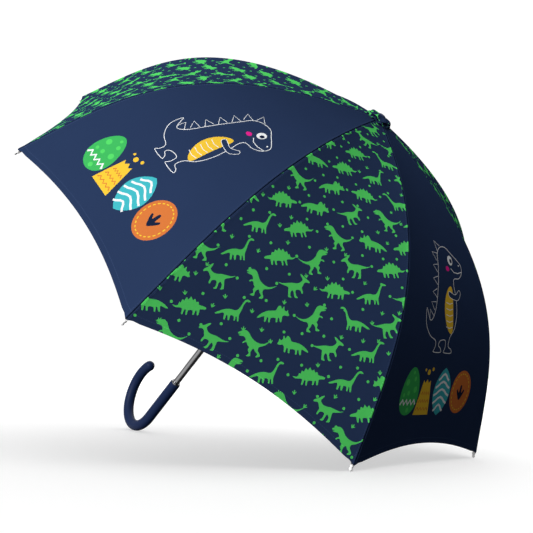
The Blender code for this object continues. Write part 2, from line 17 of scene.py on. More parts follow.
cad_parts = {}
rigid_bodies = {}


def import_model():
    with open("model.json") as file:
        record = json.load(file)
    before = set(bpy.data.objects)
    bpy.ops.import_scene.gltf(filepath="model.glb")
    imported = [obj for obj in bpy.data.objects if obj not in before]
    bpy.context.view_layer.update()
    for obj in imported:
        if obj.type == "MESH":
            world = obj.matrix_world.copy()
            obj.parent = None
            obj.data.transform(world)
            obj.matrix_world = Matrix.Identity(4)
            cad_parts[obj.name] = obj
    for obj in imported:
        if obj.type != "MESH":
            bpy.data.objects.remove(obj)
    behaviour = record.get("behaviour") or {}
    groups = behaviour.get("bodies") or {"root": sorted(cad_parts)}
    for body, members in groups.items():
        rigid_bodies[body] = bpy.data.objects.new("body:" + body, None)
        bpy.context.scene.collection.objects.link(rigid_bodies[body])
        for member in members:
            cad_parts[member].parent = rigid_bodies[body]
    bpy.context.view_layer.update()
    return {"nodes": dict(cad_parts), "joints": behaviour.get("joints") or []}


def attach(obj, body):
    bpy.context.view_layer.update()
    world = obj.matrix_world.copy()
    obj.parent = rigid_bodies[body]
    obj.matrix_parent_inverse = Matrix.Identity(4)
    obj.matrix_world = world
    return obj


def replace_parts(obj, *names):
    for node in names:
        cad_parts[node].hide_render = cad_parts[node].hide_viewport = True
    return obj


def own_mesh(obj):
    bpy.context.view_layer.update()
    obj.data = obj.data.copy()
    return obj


# Canopy outline, in metres and radians: one Bezier curve from the crown to the rib tips.
RIBS = 8
TIP_RADIUS = 0.360
CROWN_RADIUS = 0.0072
CROWN_HEIGHT = 0.0055
CANOPY_DROP = 0.2416
CROWN_SLOPE, CROWN_PULL = math.radians(8.5), 0.2531
TIP_SLOPE, TIP_PULL = math.radians(58.5), 0.1224
HEM_RISE = 0.04
JOINT_SHARE = 0.45
GORE = 2 * math.pi / RIBS
HALF_GORE = GORE / 2
SAMPLES = 500

# Cloth
CLOTH_THICKNESS = 0.00035
SAG = 0.0035
SEAM_RIDGE, SEAM_GROOVE, SEAM_WIDTH = 0.0005, 0.0004, 0.0042
CORNER_CUT, CORNER_WIDTH = 0.0030, 0.016
WRINKLE = 0.0005
GRID = 0.0095
WEAVE_PITCH, CLOTH_ROUGHNESS = 0.0007, 0.75
# The third of these is how near the seam the painted shade in its groove lies.
SEAM_EDGE, SEAM_FADE, SEAM_SHADE_WIDTH = 0.0012, 0.0028, 0.0006
SEAM_STITCH, HEM_STITCH = 0.0024, 0.0065  # how far the lines of stitches lie from the edge
STITCH_HALF, STITCHES_PER_METRE, STITCH_FILL = 0.00028, 380.0, 0.68
PATCH_SCALE, PATCH_LEVEL = 105.0, 0.64  # of the green blots on the rosette
INNER_CLOTH = 0.05  # a distance from seam and hem at which no stitches show
UPPER_STRIPS = (0.0, 0.04, 0.08, 0.14, 0.22, 0.33, JOINT_SHARE)
LOWER_STRIPS = (JOINT_SHARE, 0.52, 0.62, 0.74, 0.87, 1.0)

# Print: rows of small dinosaurs, turned against the gore
PRINT_TURN = math.radians(27)
PRINT_COLUMN, PRINT_ROW = 0.0420, 0.0300
PRINT_SIZE, FOOT_SIZE, DOT_SIZE = 0.0172, 0.0040, 0.0032
PRINT_TILT, MIRRORED_SHARE, FOOT_SHARE = 0.16, 0.42, 0.36
PRINT_MIDDLE = 0.55  # where the rows start, as a share of the way down a gore

# Shaft, crown, handle and tips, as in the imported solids
SHAFT_CLEARANCE = 0.0003
SHAFT_RADIUS = 0.00475
CROWN_TO_HANDLE = 0.4650
HANDLE_RADIUS, HANDLE_STEM = 0.0076, 0.0710
HANDLE_EDGE = 0.0012  # rounding of the grip's upper end
HOOK_RADIUS, HOOK_TURN, HOOK_RIB = 0.0468, math.radians(210.5), 5
SOCKET_DEPTH = 0.045
ROSETTE_LOW = 0.0064
ROSETTE_DROOP = 0.22
STRIP_WIDTH = 0.025  # of the cloth strip that is folded and gathered for each ring of the rosette
CAP_RADIUS, CAP_FOOT, CAP_DOME, CAP_EDGE = 0.0056, 0.0108, 0.0024, 0.0005
POLE = 0.0003  # radius of the small flat that closes a turned piece
RIB_DEPTH = 0.0030
TIP_LENGTH, TIP_NECK, TIP_BALL = 0.0065, 0.0015, 0.0019
STRAP_WIDTH, STRAP_START, STRAP_END, STRAP_PANEL = 0.018, 0.62, 0.93, 5
STRAP_LOW, STRAP_LOOSE = 0.0006, 0.0008  # above the cloth at the ends, and more in the middle

# Colours, linear
NAVY = (0.0114, 0.0210, 0.0520)
GREEN = (0.050, 0.362, 0.074)
YELLOW = (0.470, 0.300, 0.024)
TEAL = (0.030, 0.250, 0.280)
WHITE = (0.480, 0.490, 0.500)
ORANGE = (0.350, 0.098, 0.024)
LEAF = (0.028, 0.250, 0.060)
PINK = (0.420, 0.010, 0.150)
DARK = (0.006, 0.010, 0.026)

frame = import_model()
JOINTS = {joint["name"]: joint for joint in frame["joints"]}


# The umbrella's own frame


def umbrella_matrix():
    names = ["canopy_fold"] + [f"rib_{k}_fold" for k in range(2, RIBS + 1)]
    centre = sum((Vector(JOINTS[name]["pos_m"]) for name in names), Vector()) / RIBS
    first, third = (Vector(JOINTS[name]["axis"]) for name in ("canopy_fold", "rib_3_fold"))
    up = first.cross(third).normalized()
    side = Matrix.Rotation(HALF_GORE, 3, up) @ first
    matrix = Matrix((side.cross(up), side, up)).transposed().to_4x4()
    matrix.translation = centre
    return matrix


UMBRELLA = umbrella_matrix()


def azimuth_of(rib):
    return GORE * (rib - 1) - HALF_GORE


def gore_matrix(number):
    """The umbrella's frame turned so that X points along the middle of this gore."""
    return UMBRELLA @ Matrix.Rotation(azimuth_of(number) + HALF_GORE, 4, "Z")


# Canopy surface. A point of a gore has flat coordinates: across, and down from the crown.


def bezier(t):
    inward = Vector((math.cos(CROWN_SLOPE), -math.sin(CROWN_SLOPE)))
    outward = Vector((math.cos(TIP_SLOPE), -math.sin(TIP_SLOPE)))
    first, last = Vector((CROWN_RADIUS, CROWN_HEIGHT)), Vector((TIP_RADIUS, CROWN_HEIGHT - CANOPY_DROP))
    second, third = first + inward * CROWN_PULL, last - outward * TIP_PULL
    s = 1 - t
    return first * s**3 + second * (3 * s * s * t) + third * (3 * s * t * t) + last * t**3


def running_length(points):
    lengths = [0.0]
    for a, b in zip(points, points[1:]):
        lengths.append(lengths[-1] + (b - a).length)
    return lengths


RIB_LINE = [bezier(i / SAMPLES) for i in range(SAMPLES + 1)]
RIB_LENGTHS = running_length(RIB_LINE)
SHARES = [length / RIB_LENGTHS[-1] for length in RIB_LENGTHS]
MID_LINE = [Vector((p.x * math.cos(HALF_GORE), p.y)) for p in RIB_LINE]
DOWNS = running_length(MID_LINE)
HALF_HEM = TIP_RADIUS * math.sin(HALF_GORE)
MIDDLE_DOWN = DOWNS[-1] * PRINT_MIDDLE


def between(keys, values, key):
    i = min(max(bisect.bisect_right(keys, key) - 1, 0), len(keys) - 2)
    part = (key - keys[i]) / (keys[i + 1] - keys[i])
    return values[i] + (values[i + 1] - values[i]) * part


def down_of(share):
    return between(SHARES, DOWNS, share)


def share_of(down):
    return between(DOWNS, SHARES, down)


def half_width(down):
    return between(DOWNS, MID_LINE, down).x * math.tan(HALF_GORE)


def hem_down(across):
    """How far down the hem is at a share across, from -1 to 1, with its corners eased."""
    down = down_of(1 - HEM_RISE * (1 - across * across))
    edge = (1 - abs(across)) * HALF_HEM
    return down - CORNER_CUT * max(0.0, 1 - edge / CORNER_WIDTH) ** 2


def smooth(x):
    x = min(max(x, 0.0), 1.0)
    return x * x * (3 - 2 * x)


def relief(across, down, number):
    """Height above the taut cloth: the sag between ribs, the seam ridge and soft wrinkles."""
    half = half_width(down)
    edge = half - abs(across)
    share = share_of(down)
    middle = max(0.0, 1 - (across / half) ** 2)
    sag = -SAG * middle * smooth(share / 0.5)
    ridge = SEAM_RIDGE * smooth(edge / SEAM_EDGE) * smooth((SEAM_WIDTH - edge) / SEAM_FADE)
    groove = -SEAM_GROOVE * smooth(1 - edge / SEAM_EDGE)
    ends = smooth((share - 0.45) / 0.5) * smooth((1.03 - share) / 0.25)
    place = Vector((across * 26, down * 7, number * 3.7))
    away = smooth(edge / 0.02)
    return sag + ridge + groove + WRINKLE * noise.noise(place) * away * (0.5 + ends)


def taut_point(across, down):
    point = between(DOWNS, MID_LINE, down)
    return Vector((point.x, across, point.y))


def taut_normal(down):
    step = 0.0005
    a, b = between(DOWNS, MID_LINE, down - step), between(DOWNS, MID_LINE, down + step)
    along = b - a
    return Vector((-along.y, 0, along.x)).normalized()


def cloth_point(across, down, number):
    return taut_point(across, down) + taut_normal(down) * relief(across, down, number)


def cloth_normal(across, down, number):
    step = 0.0004
    inside = min(max(across, step - half_width(down)), half_width(down) - step)
    sideways = cloth_point(inside + step, down, number) - cloth_point(inside - step, down, number)
    along = cloth_point(inside, down + step, number) - cloth_point(inside, down - step, number)
    return along.cross(sideways).normalized()


# Materials


def new_material(name, colour, roughness, metallic=0.0, **sockets):
    """(material, its node tree, its shader), with any further shader socket set by name."""
    material = bpy.data.materials.new(name)
    material.use_nodes = True
    shader = material.node_tree.nodes["Principled BSDF"]
    shader.inputs["Base Color"].default_value = (*colour, 1)
    shader.inputs["Roughness"].default_value = roughness
    shader.inputs["Metallic"].default_value = metallic
    for socket, value in sockets.items():
        shader.inputs[socket.replace("_", " ")].default_value = value
    material.diffuse_color = (*colour, 1)
    return material, material.node_tree, shader


def feed(tree, socket, value):
    """Link an output to a socket, or set the socket to a plain value."""
    if isinstance(value, bpy.types.NodeSocket):
        tree.links.new(value, socket)
    else:
        socket.default_value = value


def add_node(tree, kind, **settings):
    """A new node, with its properties set and its sockets fed by name."""
    node = tree.nodes.new(kind)
    for key, value in settings.items():
        if hasattr(node, key):
            setattr(node, key, value)
        else:
            feed(tree, node.inputs[key.replace("_", " ")], value)
    return node


def math_node(tree, operation, *values):
    node = add_node(tree, "ShaderNodeMath", operation=operation)
    for socket, value in zip(node.inputs, values):
        feed(tree, socket, value)
    return node.outputs[0]


def mixed(tree, factor, under, over):
    """The colour over laid on the colour under, as far as the factor goes from 0 to 1."""
    return add_node(tree, "ShaderNodeMix", data_type="RGBA", Factor=factor, A=under, B=over).outputs["Result"]


def varied_colour(tree, colour, low, scale, coordinate):
    """The colour, darker by up to low in large soft patches."""
    patches = add_node(tree, "ShaderNodeTexNoise", Scale=scale, Detail=3.0, Vector=coordinate)
    return mixed(tree, patches.outputs["Fac"], (*[c * low for c in colour], 1), (*colour, 1))


def weave_height(tree, coordinate, pitch):
    """Plain weave: two crossing sets of threads of this pitch."""
    scale = math.pi / 10 / pitch
    heights = []
    for direction in ("X", "Y"):
        wave = add_node(tree, "ShaderNodeTexWave", Scale=scale, Distortion=0.6, bands_direction=direction,
                        Vector=coordinate)
        heights.append(wave.outputs["Fac"])
    return math_node(tree, "MAXIMUM", *heights)


def stitch_mask(tree, distance, along, offset):
    """1 on the stitches of a line of sewing this far from an edge, and 0 elsewhere."""
    off_line = math_node(tree, "ABSOLUTE", math_node(tree, "SUBTRACT", distance, offset))
    on_line = math_node(tree, "LESS_THAN", off_line, STITCH_HALF)
    count = math_node(tree, "MULTIPLY", along, STITCHES_PER_METRE)
    on_stitch = math_node(tree, "LESS_THAN", math_node(tree, "FRACT", count), STITCH_FILL)
    return math_node(tree, "MULTIPLY", on_line, on_stitch)


def shaded(colour, by, lift=0.0):
    return (*[min(1.0, c * by + lift) for c in colour], 1)


def add_bump(tree, shader, height, strength, distance):
    bump = add_node(tree, "ShaderNodeBump", Strength=strength, Distance=distance, Height=height)
    tree.links.new(bump.outputs["Normal"], shader.inputs["Normal"])


def add_uneven_gloss(tree, shader, place, roughness, low, high, scale, detail):
    """Roughness that wanders between two shares of its value. Returns the noise behind it."""
    gloss = add_node(tree, "ShaderNodeTexNoise", Scale=scale, Detail=detail, Vector=place).outputs["Fac"]
    spread = add_node(tree, "ShaderNodeMapRange", Value=gloss,
                      To_Min=roughness * low, To_Max=roughness * high)
    tree.links.new(spread.outputs["Result"], shader.inputs["Roughness"])
    return gloss


def cloth_material(name, colour, patches=None):
    """Thin woven polyester, with a line of stitches along its seams and its hem."""
    material, tree, shader = new_material(name, colour, CLOTH_ROUGHNESS, Specular_IOR_Level=0.0)
    flat = add_node(tree, "ShaderNodeUVMap", uv_map="cloth").outputs["UV"]
    tone = varied_colour(tree, colour, 0.86, 9.0, flat)
    if patches:
        blots = add_node(tree, "ShaderNodeTexNoise", Scale=PATCH_SCALE, Detail=0.0, Vector=flat)
        edge = math_node(tree, "GREATER_THAN", blots.outputs["Fac"], PATCH_LEVEL)
        tone = mixed(tree, edge, tone, (*patches, 1))
    height = weave_height(tree, flat, WEAVE_PITCH)
    split = add_node(tree, "ShaderNodeSeparateXYZ", Vector=flat)
    seam, hem = (add_node(tree, "ShaderNodeAttribute", attribute_name=n) for n in ("seam", "hem"))
    marks = [
        stitch_mask(tree, seam.outputs["Fac"], split.outputs["Y"], SEAM_STITCH),
        stitch_mask(tree, hem.outputs["Fac"], split.outputs["X"], HEM_STITCH),
    ]
    stitches = math_node(tree, "MAXIMUM", *marks)
    tone = mixed(tree, stitches, tone, shaded(colour, 1.35, 0.004))
    # Painted shade: a dark line at a fifth of the cloth's colour, along the groove at the seam.
    in_seam_shade = math_node(tree, "LESS_THAN", seam.outputs["Fac"], SEAM_SHADE_WIDTH)
    tone = mixed(tree, in_seam_shade, tone, shaded(colour, 0.2))
    height = math_node(tree, "ADD", height, math_node(tree, "MULTIPLY", stitches, 2.0))
    tree.links.new(tone, shader.inputs["Base Color"])
    add_bump(tree, shader, height, 0.25, 0.00012)
    return material


def moulded_material(name, colour, roughness, **sockets):
    """Moulded plastic with a fine grain and faint wear in its gloss."""
    material, tree, shader = new_material(name, colour, roughness, **sockets)
    place = add_node(tree, "ShaderNodeTexCoord").outputs["Object"]
    tree.links.new(varied_colour(tree, colour, 0.88, 24.0, place), shader.inputs["Base Color"])
    add_uneven_gloss(tree, shader, place, roughness, 0.85, 1.2, 60.0, 4.0)
    fine = add_node(tree, "ShaderNodeTexNoise", Scale=1800.0, Detail=2.0, Vector=place)
    add_bump(tree, shader, fine.outputs["Fac"], 0.3, 0.00004)
    return material


def steel_material(name, colour, roughness):
    """Plated steel with slightly uneven gloss."""
    material, tree, shader = new_material(name, colour, roughness, 1.0)
    place = add_node(tree, "ShaderNodeTexCoord").outputs["Object"]
    tree.links.new(varied_colour(tree, colour, 0.8, 40.0, place), shader.inputs["Base Color"])
    gloss = add_uneven_gloss(tree, shader, place, roughness, 0.7, 1.4, 220.0, 3.0)
    add_bump(tree, shader, gloss, 0.15, 0.00005)
    return material


CLOTHS = {
    "navy": cloth_material("cloth_navy", NAVY),
    "green": cloth_material("print_green", GREEN),
    "yellow": cloth_material("print_yellow", YELLOW),
    "teal": cloth_material("print_teal", TEAL),
    "white": cloth_material("print_white", WHITE),
    "orange": cloth_material("print_orange", ORANGE),
    "leaf": cloth_material("print_leaf", LEAF),
    "pink": cloth_material("print_pink", PINK),
    "dark": cloth_material("print_dark", DARK),
    "lining": cloth_material("cloth_underside", tuple(c * 0.9 for c in NAVY)),
    "faded": cloth_material("print_underside", tuple(0.75 * n + 0.25 * g for n, g in zip(NAVY, GREEN))),
}
CLOTH_ORDER = list(CLOTHS)
ROSETTE_CLOTH = cloth_material("rosette_print", NAVY, patches=GREEN)
NAVY_PLASTIC = moulded_material("handle_plastic", (0.0054, 0.0130, 0.0450), 0.50, Specular_IOR_Level=0.08)
BLACK_PLASTIC = moulded_material("black_plastic", (0.010, 0.010, 0.012), 0.42)
WHITE_PLASTIC = moulded_material("tip_plastic", (0.62, 0.62, 0.62), 0.35)
BRIGHT_STEEL = steel_material("plated_steel", (0.42, 0.42, 0.43), 0.20)


# Print motifs: flat outlines facing +X, with +Y up, in hundredths of about half their length

SAUROPOD = (
    (-100, 2), (-80, 14), (-55, 26), (-30, 33), (-5, 34), (15, 30), (32, 34), (46, 50), (58, 74),
    (70, 92), (86, 100), (100, 94), (104, 87), (94, 85), (82, 86), (72, 76), (62, 54), (54, 30),
    (46, 10), (44, -4), (45, -30), (36, -31), (33, -10), (26, -4), (24, -28), (15, -29), (14, -6),
    (-6, -2), (-10, -28), (-20, -29), (-22, -6), (-30, -4), (-36, -28), (-46, -27), (-44, -2), (-50, 10),
    (-70, 4), (-88, -1),
)
HUNTER = (
    (-100, 42), (-78, 28), (-55, 20), (-30, 22), (-5, 34), (15, 52), (28, 74), (40, 90), (56, 98),
    (78, 93), (97, 85), (98, 77), (80, 74), (95, 70), (84, 64), (64, 62), (54, 50), (52, 38), (64, 34),
    (72, 24), (64, 22), (58, 28), (46, 26), (40, 10), (30, -2), (38, -16), (30, -36), (46, -48),
    (42, -54), (22, -52), (22, -34), (14, -16), (2, -10), (-6, -26), (-20, -42), (-10, -54), (-14, -60),
    (-34, -54), (-32, -38), (-22, -22), (-26, -2), (-42, 4), (-66, 12), (-86, 28),
)
PLATED = (
    (-100, 16), (-80, 12), (-66, 18), (-62, 34), (-52, 30), (-44, 50), (-32, 42), (-20, 64), (-8, 50),
    (6, 68), (16, 48), (30, 56), (36, 38), (50, 40), (54, 24), (70, 18), (88, 14), (98, 4), (90, -2),
    (70, -2), (58, -6), (54, -34), (44, -35), (42, -12), (34, -12), (28, -34), (18, -34), (20, -12),
    (-8, -12), (-12, -36), (-22, -36), (-20, -10), (-30, -10), (-38, -34), (-48, -33), (-42, -4),
    (-60, 2), (-82, 2),
)
CRESTED = (
    (-100, 24), (-74, 22), (-45, 30), (-18, 38), (8, 40), (28, 46), (42, 60), (46, 74), (34, 88),
    (28, 102), (46, 94), (60, 84), (78, 76), (92, 66), (88, 59), (70, 60), (60, 52), (54, 34), (50, 20),
    (60, 2), (62, -12), (54, -12), (46, 2), (34, 6), (18, 2), (16, -12), (26, -34), (38, -42), (20, -46),
    (10, -30), (4, -14), (-6, -6), (-14, -22), (-10, -40), (-2, -50), (-22, -50), (-26, -36), (-30, -10),
    (-34, 8), (-55, 12), (-80, 16),
)
HORNED = (
    (-95, -6), (-78, 12), (-55, 26), (-28, 36), (0, 38), (18, 40), (26, 54), (38, 68), (50, 64),
    (56, 50), (66, 64), (70, 62), (70, 44), (82, 36), (92, 44), (93, 28), (100, 14), (88, 8), (70, 12),
    (58, 4), (54, -26), (44, -27), (40, -4), (32, -6), (28, -28), (18, -28), (18, -6), (-12, -6),
    (-16, -30), (-26, -30), (-26, -6), (-34, -4), (-42, -28), (-52, -27), (-50, 2), (-66, 0), (-82, -6),
)
FOOTPRINT = (
    (0, -55), (28, -28), (58, 18), (44, 30), (18, 4), (12, 58), (-12, 58), (-18, 4), (-44, 30),
    (-58, 18), (-28, -28),
)


def rounded(points, steps, unit=100):
    """A closed Catmull-Rom curve through points given in whole parts of a unit."""
    vectors, curve = [Vector([value / unit for value in p]) for p in points], []
    count = len(vectors)
    for i in range(count):
        a, b, c, d = (vectors[(i + k) % count] for k in (-1, 0, 1, 2))
        for n in range(steps):
            t = n / steps
            pull = (2 * a - 5 * b + 4 * c - d) * t * t + (3 * b - a - 3 * c + d) * t**3
            curve.append(((2 * b) + (c - a) * t + pull) / 2)
    return curve


def placed(points, centre, size, angle=0.0, mirrored=False):
    """The outline scaled and turned about its own middle, moved to a centre on the cloth."""
    turn = Matrix.Rotation(angle, 2)
    flip = -1 if mirrored else 1
    middle = Vector((sum(p[0] for p in points), sum(p[1] for p in points))) / len(points)
    found = []
    for p in points:
        x, y = turn @ ((Vector((p[0], p[1])) - middle) * size)
        # Down runs away from the crown, so a motif's own up is towards less of it.
        found.append((centre[0] + x * flip, centre[1] - y))
    return found


def ellipse(width, height, steps=28, x=0.0, y=0.0):
    angles = [2 * math.pi * i / steps for i in range(steps)]
    return [(x + width / 2 * math.cos(a), y + height / 2 * math.sin(a)) for a in angles]


def stroke(points, width):
    """The outline of a line of this width through open points."""
    vectors = [Vector(p) for p in points]
    left, right = [], []
    for i, point in enumerate(vectors):
        along = vectors[min(i + 1, len(vectors) - 1)] - vectors[max(i - 1, 0)]
        side = Vector((-along.y, along.x)).normalized() * width / 2
        left.append(tuple(point + side))
        right.append(tuple(point - side))
    return left + right[::-1]


def shrunk(points, by):
    """A closed outline moved inwards by a small distance."""
    vectors = [Vector(p[:2]) for p in points]
    area = sum(a.x * b.y - b.x * a.y for a, b in zip(vectors, vectors[1:] + vectors[:1]))
    sign = 1 if area > 0 else -1
    found = []
    for i, point in enumerate(vectors):
        along = (vectors[(i + 1) % len(vectors)] - vectors[i - 1]).normalized()
        found.append(tuple(point + Vector((-along.y, along.x)) * by * sign))
    return found


def scattered_print():
    """Turned rows of small dinosaurs with dots and footprints between them: [(colour, outline)]."""
    rng = random.Random(7)
    species = [rounded(shape, 2) for shape in (SAUROPOD, HUNTER, PLATED, CRESTED, HORNED)]
    foot = rounded(FOOTPRINT, 2)
    turn = Matrix.Rotation(PRINT_TURN, 2)
    found = []

    def spot(column, row, wander):
        x, y = turn @ Vector((column * PRINT_COLUMN, row * PRINT_ROW))
        return (x + rng.uniform(-wander, wander), MIDDLE_DOWN - y + rng.uniform(-wander, wander))

    for row in range(-9, 10):
        for column in range(-7, 8):
            place = column + (row % 2) * 0.5
            kind = (2 * row + column * 3 + rng.randrange(2)) % len(species)
            centre = spot(place, row, 0.0015)
            tilt = PRINT_TURN + rng.uniform(-PRINT_TILT, PRINT_TILT)
            flip = rng.random() < MIRRORED_SHARE
            marks = [("green", placed(species[kind], centre, PRINT_SIZE, -tilt if flip else tilt, flip))]
            for aside, above in ((0.48, 0.10), (0.22, 0.52), (-0.22, 0.46)):
                middle = spot(place + aside, row + above, 0.0012)
                if rng.random() < FOOT_SHARE:
                    mark = placed(foot, middle, FOOT_SIZE, rng.uniform(-0.3, 0.7))
                else:
                    mark = [(middle[0] + x, middle[1] + y) for x, y in ellipse(DOT_SIZE, DOT_SIZE, 9)]
                marks.append(("green", mark))
            found += [mark for mark in marks if touches_gore(mark[1])]
    return found


def touches_gore(outline):
    return any(DOWNS[0] < y < DOWNS[-1] + 0.004 and abs(x) < half_width(y) + 0.004 for x, y in outline)


def at(centre, points):
    """Points given as (right, up) from a centre, in flat coordinates."""
    return [(centre[0] + x, centre[1] - y) for x, y in points]


def badge_egg():
    """A green egg with darker spots and a pale zigzag."""
    shape = [(x * (1 - 0.20 * y / 0.027), y) for x, y in ellipse(0.038, 0.054, 36)]
    found = [("leaf", shape)]
    for x, y, size in (
        (-0.009, 0.010, 0.0075), (0.006, 0.014, 0.0055), (0.010, 0.002, 0.0075), (-0.003, -0.002, 0.0055),
        (-0.012, -0.004, 0.0045), (0.001, 0.021, 0.0040), (0.002, -0.021, 0.0060),
    ):
        found.append(("green", ellipse(size, size, 14, x, y)))
    band = [(-0.0165 + 0.033 * i / 8, -0.013 + (0.0035 if i % 2 else -0.0020)) for i in range(9)]
    found.append(("white", stroke(band, 0.0026)))
    return found


def badge_peak():
    """A yellow volcano with zigzag bands and three sparks."""
    edge = (
        (-0.0165, -0.027), (0.0165, -0.027), (0.0115, -0.006), (0.0065, 0.013), (0.0030, 0.0095),
        (-0.0010, 0.014), (-0.0050, 0.0095), (-0.0085, 0.013), (-0.0125, -0.006),
    )
    found = [("yellow", edge)]
    for level in (-0.021, -0.012, -0.003):
        reach = 0.0130 - (level + 0.021) * 0.26
        line = [(-reach + 2 * reach * i / 8, level + (0.0026 if i % 2 else -0.0008)) for i in range(9)]
        found.append(("orange", stroke(line, 0.0015)))
    for x, y, size in ((-0.001, 0.0220, 0.0065), (0.0075, 0.0255, 0.0045), (-0.0085, 0.0245, 0.0035)):
        found.append(("yellow", ellipse(size, size, 14, x, y)))
    return found


def badge_leaf():
    """A teal leaf with white bands across it."""
    steps, width, height = 18, 0.0190, 0.056
    right = [(width * math.sin(math.pi * i / steps) ** 0.7, height * (i / steps - 0.5))
             for i in range(steps + 1)]
    found = [("teal", right + [(-x, y) for x, y in right[-2:0:-1]])]
    for level in (-0.019, -0.010, -0.001, 0.008, 0.017):
        reach = 0.0172 * math.sin(math.pi * (level / height + 0.5)) ** 0.7
        line = [(reach * (i / 3 - 1), level + 0.0038 * math.cos(math.pi * (i - 3) / 3.2)) for i in range(7)]
        found.append(("white", stroke(line, 0.0026)))
    return found


def badge_disc():
    """An orange disc with a ring of stitches and a dark footprint."""
    found = [("orange", ellipse(0.046, 0.052, 40))]
    count = 24
    for i in range(count):
        angles = [2 * math.pi * (i + part) / count for part in (0, 0.28, 0.56)]
        line = [(0.0188 * math.cos(a), 0.0218 * math.sin(a)) for a in angles]
        found.append(("yellow", stroke(line, 0.0013)))
    found.append(("dark", [(x, -y) for x, y in placed(rounded(FOOTPRINT, 3), (0, 0), 0.0155)]))
    return found


# A spiky-backed dinosaur on two legs, in tenths of a millimetre. A spike is its foot and its tip.
WALKER = (
    (-380, -300), (-460, -170), (-470, -350), (-360, -480), (-230, -530), (-220, -600), (-250, -660),
    (-80, -660), (-90, -610), (-140, -580), (-110, -530), (0, -520), (10, -600), (-10, -660),
    (170, -660), (160, -610), (90, -580), (110, -480), (200, -380), (250, -200), (240, 0), (210, 130),
    (230, 210), (350, 230), (430, 300), (440, 400), (360, 470), (260, 530), (140, 600), (10, 580),
    (-80, 490), (-110, 340), (-150, 180), (-200, 0), (-250, -160), (-310, -270),
)
WALKER_ARM = (
    (80, 60), (220, 30), (310, 90), (350, 50), (270, -40), (80, -10),
)
SPIKES = (
    (-20, 565, -90, 650), (-100, 450, -195, 500), (-125, 310, -225, 340), (-165, 160, -265, 180),
    (-205, 10, -305, 20), (-260, -140, -350, -100), (-345, -275, -385, -185),
)
TENTHS = 10000  # tenths of a millimetre in a metre
LINE = 0.0008


def outline_dinosaur():
    """White lines on the cloth, with a striped yellow belly."""
    body, arm = ([tuple(p) for p in rounded(points, 4, TENTHS)] for points in (WALKER, WALKER_ARM))
    found = []
    for spike in SPIKES:
        x, y, tip_x, tip_y = (value / TENTHS for value in spike)
        side = Vector((tip_y - y, x - tip_x)).normalized() * 0.0052
        edges = [(x - side.x, y - side.y), (tip_x, tip_y), (x + side.x, y + side.y)]
        found.append(("white", stroke(edges, LINE)))
    found.append(("white", body))
    found.append(("navy", shrunk(body, LINE)))
    belly = [(0.006 + (x + 0.006 * (y / 0.027) ** 2), y - 0.016) for x, y in ellipse(0.020, 0.056, 30)]
    found.append(("yellow", belly))
    for level in (-0.036, -0.029, -0.022, -0.015, -0.008):
        line = [(0.000, level), (0.008, level - 0.0014), (0.015, level + 0.0004)]
        found.append(("white", stroke(line, LINE)))
    found.append(("white", arm))
    found.append(("navy", shrunk(arm, LINE * 0.8)))
    found.append(("white", ellipse(0.0110, 0.0120, 20, 0.0200, 0.0440)))
    found.append(("dark", ellipse(0.0055, 0.0060, 14, 0.0215, 0.0435)))
    found.append(("pink", ellipse(0.0080, 0.0064, 16, 0.0110, 0.0330)))
    smile = [(0.0430, 0.0320), (0.0340, 0.0295), (0.0250, 0.0300), (0.0190, 0.0340)]
    found.append(("white", stroke(smile, 0.0010)))
    found.append(("white", ellipse(0.0022, 0.0022, 9, 0.0385, 0.0395)))
    return found


BADGES = ((badge_egg, -0.0590), (badge_peak, -0.0245), (badge_leaf, 0.0125), (badge_disc, 0.0570))
BADGE_RISE, WALKER_RISE = 0.061, 0.172


def badge_print():
    """Four badges in a row above the hem and a dinosaur over them."""
    hem = hem_down(0.0)
    drawings = [(badge(), (across, hem - BADGE_RISE)) for badge, across in BADGES]
    drawings.append((outline_dinosaur(), (0.0, hem - WALKER_RISE)))
    return [(colour, at(centre, points)) for marks, centre in drawings for colour, points in marks]


# Building the cloth


def inside(points, outline):
    """Which of these points lie in a closed outline."""
    shape = np.array(outline)
    x, y = points[:, 0], points[:, 1]
    within = np.zeros(len(points), bool)
    for (x0, y0), (x1, y1) in zip(shape, np.roll(shape, -1, axis=0)):
        if y0 == y1:
            continue
        crosses = (y0 > y) != (y1 > y)
        within ^= crosses & (x < (x1 - x0) * (y - y0) / (y1 - y0) + x0)
    return within


def gore_outline():
    start = DOWNS[0]
    steps = 56
    downs = [start + (DOWNS[-1] - start) * i / steps for i in range(steps + 1)]
    left = [(-half_width(d), d) for d in downs]
    hem = []
    for i in range(1, 40):
        across = -1 + 2 * i / 40
        down = hem_down(across)
        hem.append((across * half_width(down), down))
    return left + hem + [(-x, y) for x, y in reversed(left)]


def guide_lines():
    """Lines that the triangles follow: beside the seams, above the hem and where the cloth is divided."""
    lines = []
    start, end = DOWNS[0], DOWNS[-1]
    for offset in (0.0007, 0.0014, SEAM_WIDTH):
        downs = [start + 0.001 + (end - start - 0.002) * i / 60 for i in range(61)]
        side = [(half_width(d) - offset, d) for d in downs if half_width(d) > offset + 0.0005]
        lines += [side, [(-x, y) for x, y in side]]
    for offset in (0.003, 0.010):
        lines.append([(a / 20 * (half_width(hem_down(a / 20)) - 0.0045), hem_down(a / 20) - offset)
                      for a in range(-20, 21)])
    for share in UPPER_STRIPS[1:] + LOWER_STRIPS[1:-1]:
        down = down_of(share)
        half = half_width(down)
        lines.append([(half * a / 12, down) for a in range(-12, 13)])
    return lines


def grid_points():
    found = []
    rows = int(DOWNS[-1] / GRID)
    for row in range(1, rows + 1):
        down = row * GRID
        half = half_width(down) - 0.006
        shift = GRID / 2 * (row % 2)
        columns = int(half / GRID)
        for column in range(-columns - 1, columns + 2):
            across = column * GRID + shift
            if abs(across) < half and down < hem_down(across / half_width(down)) - 0.012:
                found.append((across, down))
    return found


